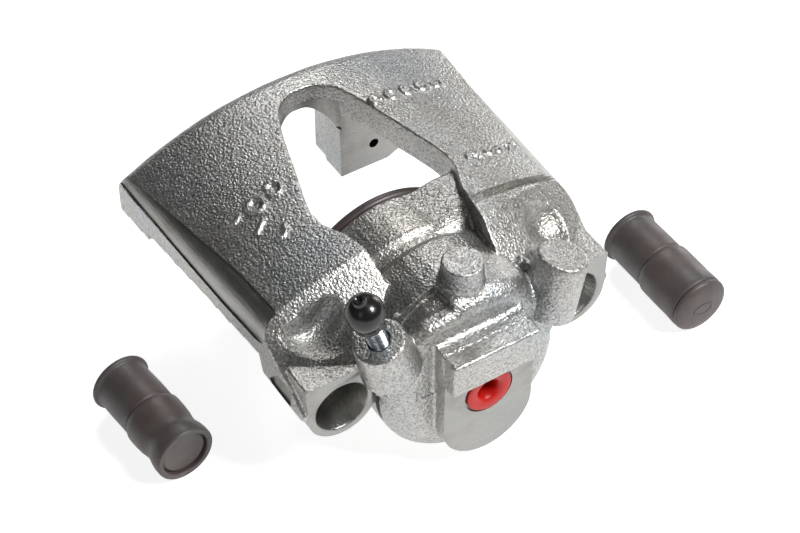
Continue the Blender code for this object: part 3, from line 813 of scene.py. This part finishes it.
def build_screw():
    """Threaded shank, hexagon and barb, one solid, with the bleed passage through it."""
    point, rotation = bleed_place(-1)
    seat = -BLEED_HOLE_DEPTH + 0.4
    thread = []
    for i in range(THREAD_TURNS):
        top = 8.6 - i * 1.0
        thread += [(3.05, top), (3.5, top - 0.4), (3.5, top - 0.6), (3.05, top - 1.0)]
    profile = [
        (0, 22.4), (2.3, 22.4), (2.6, 22.1), (3.35, 20.8), (3.35, 20.0), (2.7, 19.1), (2.7, 14.0),
        (3.3, 13.4), (3.3, 9.2), *thread, (3.0, seat + 2.2), (1.3, seat), (0, seat),
    ]
    screw = lathe("bleed_nipple", profile, point, rotation, steps=40)
    hexagon = [(0, 14.4), (3.9, 14.4), (4.5, 13.9), (4.5, 11.0), (3.9, 10.6), (0, 10.6)]
    cut_away(screw, lathe("hexagon", hexagon, point, rotation, steps=6), "UNION")
    cut_away(screw, lathe("passage", [(0, 25), (1, 25), (1, -11), (0, -11)], point, rotation, steps=24))
    screw.data.shade_smooth()
    screw.data.set_sharp_from_angle(angle=TURNED_SHARP)
    add_piece(screw, "bleed_screw", "bleed_screw", SCREW_ZINC)
    cap = [
        (0, 25.0), (0.7, 25.0), (1.1, 25.6), (1.6, 25.9), (2.1, 25.6), (2.3, 25.0), (2.5, 24.3),
        *arc((0, 17.6), 7.1, 66, -38, 18), (5.35, 12.7), (5.4, 11.2), (5.2, 10.6), (4.9, 10.6),
        (4.9, 15.0), (3.7, 16.2), (3.8, 21.6), (2.6, 23.2), (0, 23.2),
    ]
    nipple_cap = lathe("nipple_cap", cap, point, rotation)
    add_piece(nipple_cap, "bleed_screw_cap", "bleed_cap", CAP_RUBBER)


def build_plug():
    """The dished transport plug in the hose port."""
    sink = SPOT_FACE + 0.9
    face = SPOT_FACE - 0.6
    profile = [
        (0, sink + 9), (4.3, sink + 9), (5.0, sink + 8.4), (5.3, sink + 7), (5.3, sink + 3),
        (5.15, sink + 2.6), (5.3, sink + 2.2), (5.3, sink), (9.1, sink), (9.4, sink - 0.3),
        (9.4, face + 0.5), (9.2, face + 0.15), (8.8, face), (6.0, face + 0.1), (5.0, face + 0.5),
        (4.3, face + 1.4), (4.0, face + 3.0), (3.7, sink + 7.2), (0, sink + 7.4),
    ]
    add_piece(lathe("port_stopper", profile, at(0, 0, 0)), "inlet_plug", "inlet_plug", RED)


def dense(profile, longest=2.0):
    """The profile with long runs cut into shorter ones, so that a soft piece can be dented."""
    points = []
    for (r0, z0), (r1, z1) in zip(profile, profile[1:]):
        count = max(1, math.ceil(math.hypot(r1 - r0, z1 - z0) / longest))
        points += [(r0 + (r1 - r0) * i / count, z0 + (z1 - z0) * i / count) for i in range(count)]
    return points + [profile[-1]]


def sag(mesh, amount):
    """Small dents of soft rubber, only inwards, so that the piece stays in its frame solid's box."""
    for vertex in mesh.vertices:
        dent = amount * (0.5 + 0.5 * noise.noise(vertex.co * 75))
        flat = Vector((vertex.co.x, vertex.co.y, 0))
        if flat.length > OUTER_SKIN * MM:
            vertex.co -= flat.normalized() * dent * MM


def sleeve_place(side):
    """The middle of a sleeve that lies on the floor, and its turn."""
    x, y, turn = SLEEVES[side]
    drop = CYLINDER_RADIUS - SLEEVE_RADIUS
    return at(x, y, -drop), (-math.pi / 2, 0, turn)


def build_sleeve(side):
    """A soft sleeve: bead, thin half, groove, thicker half, and an open wide mouth."""
    location, rotation = sleeve_place(side)
    half = SLEEVE_LENGTH / 2
    profile = [
        (6.6, half - 0.4), (7.0, half), (11.2, half), *bead(half - 1.15, 11.15, 1.15, 80, -75, 8),
        (11.15, half - 2.7), (11.0, half - 3.2), (11.1, half - 8), (11.15, 2.0), (11.05, 1.1), (10.75, 0.75),
        (10.7, 0.3), (10.95, 0.05), (11.5, -0.25), (11.9, -1.2), (12.0, -2.6), *SLEEVE_FLARE[side],
        (12.2, -half + 1.0), (12.05, -half + 0.4), (11.7, -half), (10.1, -half),
        (9.75, -half + 0.4), (9.7, -half + 6.6), (6.6, -half + 6.6),
    ]
    sleeve = lathe(f"soft_sleeve_{side}", dense(profile), location, rotation, closed=True)
    sag(sleeve.data, SLEEVE_SAG[side])
    add_piece(sleeve, f"guide_sleeve_{side}", f"{side}_sleeve", SLEEVE_RUBBER)


def build_sleeve_cap(side, profile):
    """A rubber stopper in a sleeve's wide mouth."""
    location, rotation = sleeve_place(side)
    stopper = lathe(f"stopper_{side}", profile, location, rotation)
    add_piece(stopper, f"sleeve_cap_{side}", f"{side}_sleeve_cap", SLEEVE_RUBBER)
    return stopper


def stopper_stem():
    """The inner end of a stopper: a rounded plug in the sleeve's bore."""
    seat = -SLEEVE_LENGTH / 2 + 6.3
    return [
        (0, seat + 7), (5.2, seat + 7), (6.1, seat + 6.2), (6.3, seat + 5), (6.3, seat), (9.1, seat),
        (9.4, seat - 0.3),
    ]


def build_stoppers():
    """A recessed stopper on the left and a domed one, with an oval mark, on the right."""
    face = -SLEEVE_LENGTH / 2
    recessed = [
        (9.4, face + 2.4), (9.1, face + 1.7), (8.4, face + 1.4), (7.2, face + 1.7), (6.4, face + 2.0),
        (0, face + 2.1),
    ]
    build_sleeve_cap("left", stopper_stem() + recessed)
    domed = [
        (9.4, face - 0.3), (11.6, face - 0.3), (11.95, face - 0.6), (12.0, face - 1.2), (11.8, face - 1.9),
        (11.2, face - 2.5), (9.8, face - 3.2), (7.6, face - 3.7), (4.5, face - 3.95), (0, face - 4.05),
    ]
    cap = build_sleeve_cap("right", stopper_stem() + domed)
    location, rotation = sleeve_place("right")
    ring = [(2.9, face - 3.2), (2.9, face - 4.1), (2.6, face - 4.2), (2.3, face - 4.1), (2.3, face - 3.2)]
    oval = lathe("oval_mark", ring, location, rotation, closed=True, steps=48)
    oval.scale = (1.6, 1.0, 1.0)
    cut_away(cap, oval, "UNION")
    cap.data.shade_smooth()
    cap.data.set_sharp_from_angle(angle=TURNED_SHARP)


build_casting()
build_piston()
build_seal_and_ring()
build_boot()
build_screw()
build_plug()
for sleeve_side in SLEEVES:
    build_sleeve(sleeve_side)
build_stoppers()


# ---------------------------------------------------------------- stage, light and camera

VIEW_AZIMUTH = math.radians(-32.26)
VIEW_ELEVATION = math.radians(45.88)
LENS = 96.1
CAMERA_PLACE = (-294.2, -426.4, 579.9)


def direction(azimuth, elevation):
    """From the object towards a viewer: azimuth zero is inboard (-Y), turning towards +X."""
    flat = math.cos(elevation)
    return Vector((math.sin(azimuth) * flat, -math.cos(azimuth) * flat, math.sin(elevation)))


def build_stage():
    """A white floor that glows a little, so that it stays near white in the shadows."""
    bpy.ops.mesh.primitive_plane_add(size=6, location=(0, 0, -0.0002))
    floor = bpy.context.object
    floor.name = "floor"
    m = Nodes("white_floor")
    m.set("Base Color", (0.5, 0.5, 0.5))
    m.set("Roughness", 0.6)
    m.set("Emission Color", (1.0, 1.0, 1.0))
    m.set("Emission Strength", 0.85)
    floor.data.materials.append(m.material)


def softbox(name, toward, distance, width, height, power):
    """A rectangular light at a distance from the caliper's middle, facing it."""
    data = bpy.data.lights.new(name, "AREA")
    data.shape = "RECTANGLE"
    data.size = width
    data.size_y = height
    data.energy = power
    light = bpy.data.objects.new(name, data)
    bpy.context.scene.collection.objects.link(light)
    middle = AXIS + Vector((0, 0.05, 0))
    light.location = middle + Vector(toward).normalized() * distance
    light.rotation_euler = Vector(toward).to_track_quat("Z", "Y").to_euler()


def build_lights():
    """A key from the right of the camera, two weaker lights behind, a fill, and a dim room."""
    softbox("key", (0.37, -0.52, 0.77), 1.3, 0.36, 0.36, 20)
    softbox("top", (0.34, 0.58, 0.74), 1.4, 0.5, 0.4, 6.5)
    softbox("right", (0.92, 0.40, 0.20), 1.5, 0.4, 0.35, 4.2)
    softbox("left_fill", (-0.9, -0.5, 0.7), 1.6, 0.5, 0.5, 0.8)
    world = bpy.data.worlds.new("studio")
    world.use_nodes = True
    world.node_tree.nodes["Background"].inputs["Color"].default_value = (1, 1, 1, 1)
    world.node_tree.nodes["Background"].inputs["Strength"].default_value = 0.075
    bpy.context.scene.world = world


def build_camera():
    """The camera of the reference view."""
    data = bpy.data.cameras.new("camera")
    data.lens = LENS
    data.sensor_width = 36
    camera = bpy.data.objects.new("camera", data)
    bpy.context.scene.collection.objects.link(camera)
    camera.location = at(*CAMERA_PLACE)
    camera.rotation_euler = direction(VIEW_AZIMUTH, VIEW_ELEVATION).to_track_quat("Z", "Y").to_euler()
    bpy.context.scene.camera = camera


build_stage()
build_lights()
build_camera()
bpy.context.scene.view_settings.view_transform = "Standard"
